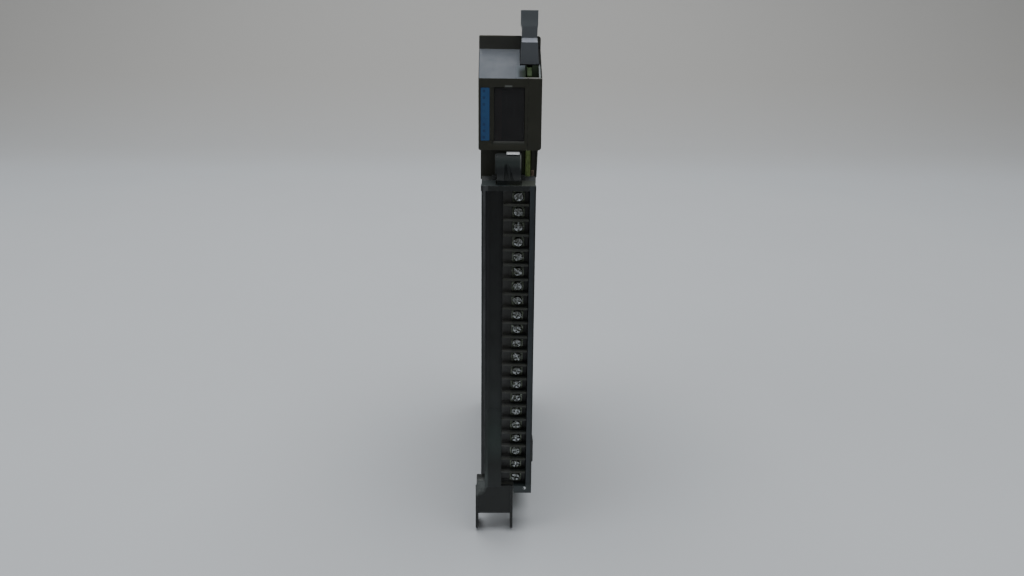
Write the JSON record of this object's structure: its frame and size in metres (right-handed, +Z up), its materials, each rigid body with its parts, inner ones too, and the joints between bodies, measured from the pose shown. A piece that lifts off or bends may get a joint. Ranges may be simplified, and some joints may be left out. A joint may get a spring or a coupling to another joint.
{
  "type": "plc module",
  "caption": "Rack-mounted controller input module: circuit board in a slim housing, sloped indicator bezel, ejector lever and a plugged-on swing-down wiring arm with barrier screw terminals.",
  "frame": {"origin": "middle of the footprint, on the lowest point, the tips of the arm's pivot clip", "axes": "+Z up along the module's height, +Y from the indicator face into the rack, +X to the reader's right when facing the indicators"},
  "size_m": [0.0324, 0.1576, 0.273],
  "materials": {
    "housing": "fine satin moulded texture, olive black",
    "arm": "satin moulded plastic, dark slate",
    "lever": "satin moulded plastic, slate grey",
    "board": "green solder mask on glass epoxy",
    "window": "smoked transparent plastic",
    "label": "blue printed strip",
    "lamp": "red diffused lamp lenses",
    "nickel": "nickel plated steel",
    "steel": "bright spring steel",
    "brass": "turned brass",
    "chip": "black moulded resin",
    "aluminium": "extruded aluminium",
    "ceramic": "glazed tube",
    "sleeve": "heat shrunk sleeve",
    "tape": "winding tape"
  },
  "bodies": {
    "module": {"board_fuse": "ceramic", "board_standoff_1": "brass", "board_standoff_2": "brass", "board_standoff_3": "brass", "board_standoff_4": "brass", "component_cover": "housing", "cover_screw_1": "steel", "cover_screw_2": "steel", "cover_screw_3": "steel", "cover_screw_4": "steel", "ejector_pin": "steel", "filter_capacitor_1": "sleeve", "filter_capacitor_2": "sleeve", "function_label": "label", "indicator_bezel": "housing", "indicator_board": "board", "indicator_lamps": "lamp", "indicator_window": "window", "logic_chip_1": "chip", "logic_chip_2": "chip", "logic_chip_3": "chip", "main_board": "board", "opto_bank_1": "chip", "opto_bank_2": "chip", "opto_bank_3": "chip", "pulse_transformer": "tape", "regulator_heat_sink": "aluminium", "solder_side_cover": "housing"},
    "wiring_arm": {"arm_channel": "arm", "terminal_block": "arm", "edge_connector": "chip", "pivot_clip": "arm", "clip_screw_1": "steel", "clip_screw_2": "steel", "latch_pin": "steel", "terminal_screw_01": "nickel", "terminal_screw_02": "nickel", "terminal_screw_03": "nickel", "terminal_screw_04": "nickel", "terminal_screw_05": "nickel", "terminal_screw_06": "nickel", "terminal_screw_07": "nickel", "terminal_screw_08": "nickel", "terminal_screw_09": "nickel", "terminal_screw_10": "nickel", "terminal_screw_11": "nickel", "terminal_screw_12": "nickel", "terminal_screw_13": "nickel", "terminal_screw_14": "nickel", "terminal_screw_15": "nickel", "terminal_screw_16": "nickel", "terminal_screw_17": "nickel", "terminal_screw_18": "nickel", "terminal_screw_19": "nickel", "terminal_screw_20": "nickel", "terminal_screw_21": "nickel"},
    "arm_latch": {"arm_latch": "arm", "latch_spring": "steel"},
    "ejector_lever": {"ejector_lever": "lever"}
  },
  "joints": [
    {"name": "wiring_arm_swing", "type": "hinge", "parent": "module", "child": "wiring_arm", "pos_m": [0.00075, -0.0702, 0.0116], "axis": [1, 0, 0], "range_deg": [0, 90]},
    {"name": "arm_latch_tilt", "type": "hinge", "parent": "wiring_arm", "child": "arm_latch", "pos_m": [0.00075, -0.0708, 0.1914], "axis": [1, 0, 0], "range_deg": [0, 15], "stiffness_Nm_per_rad": 0.03, "springref_deg": -5.73},
    {"name": "ejector_lever_swing", "type": "hinge", "parent": "module", "child": "ejector_lever", "pos_m": [0.01025, -0.0582, 0.2516], "axis": [1, 0, 0], "range_deg": [0, 60]}
  ]
}
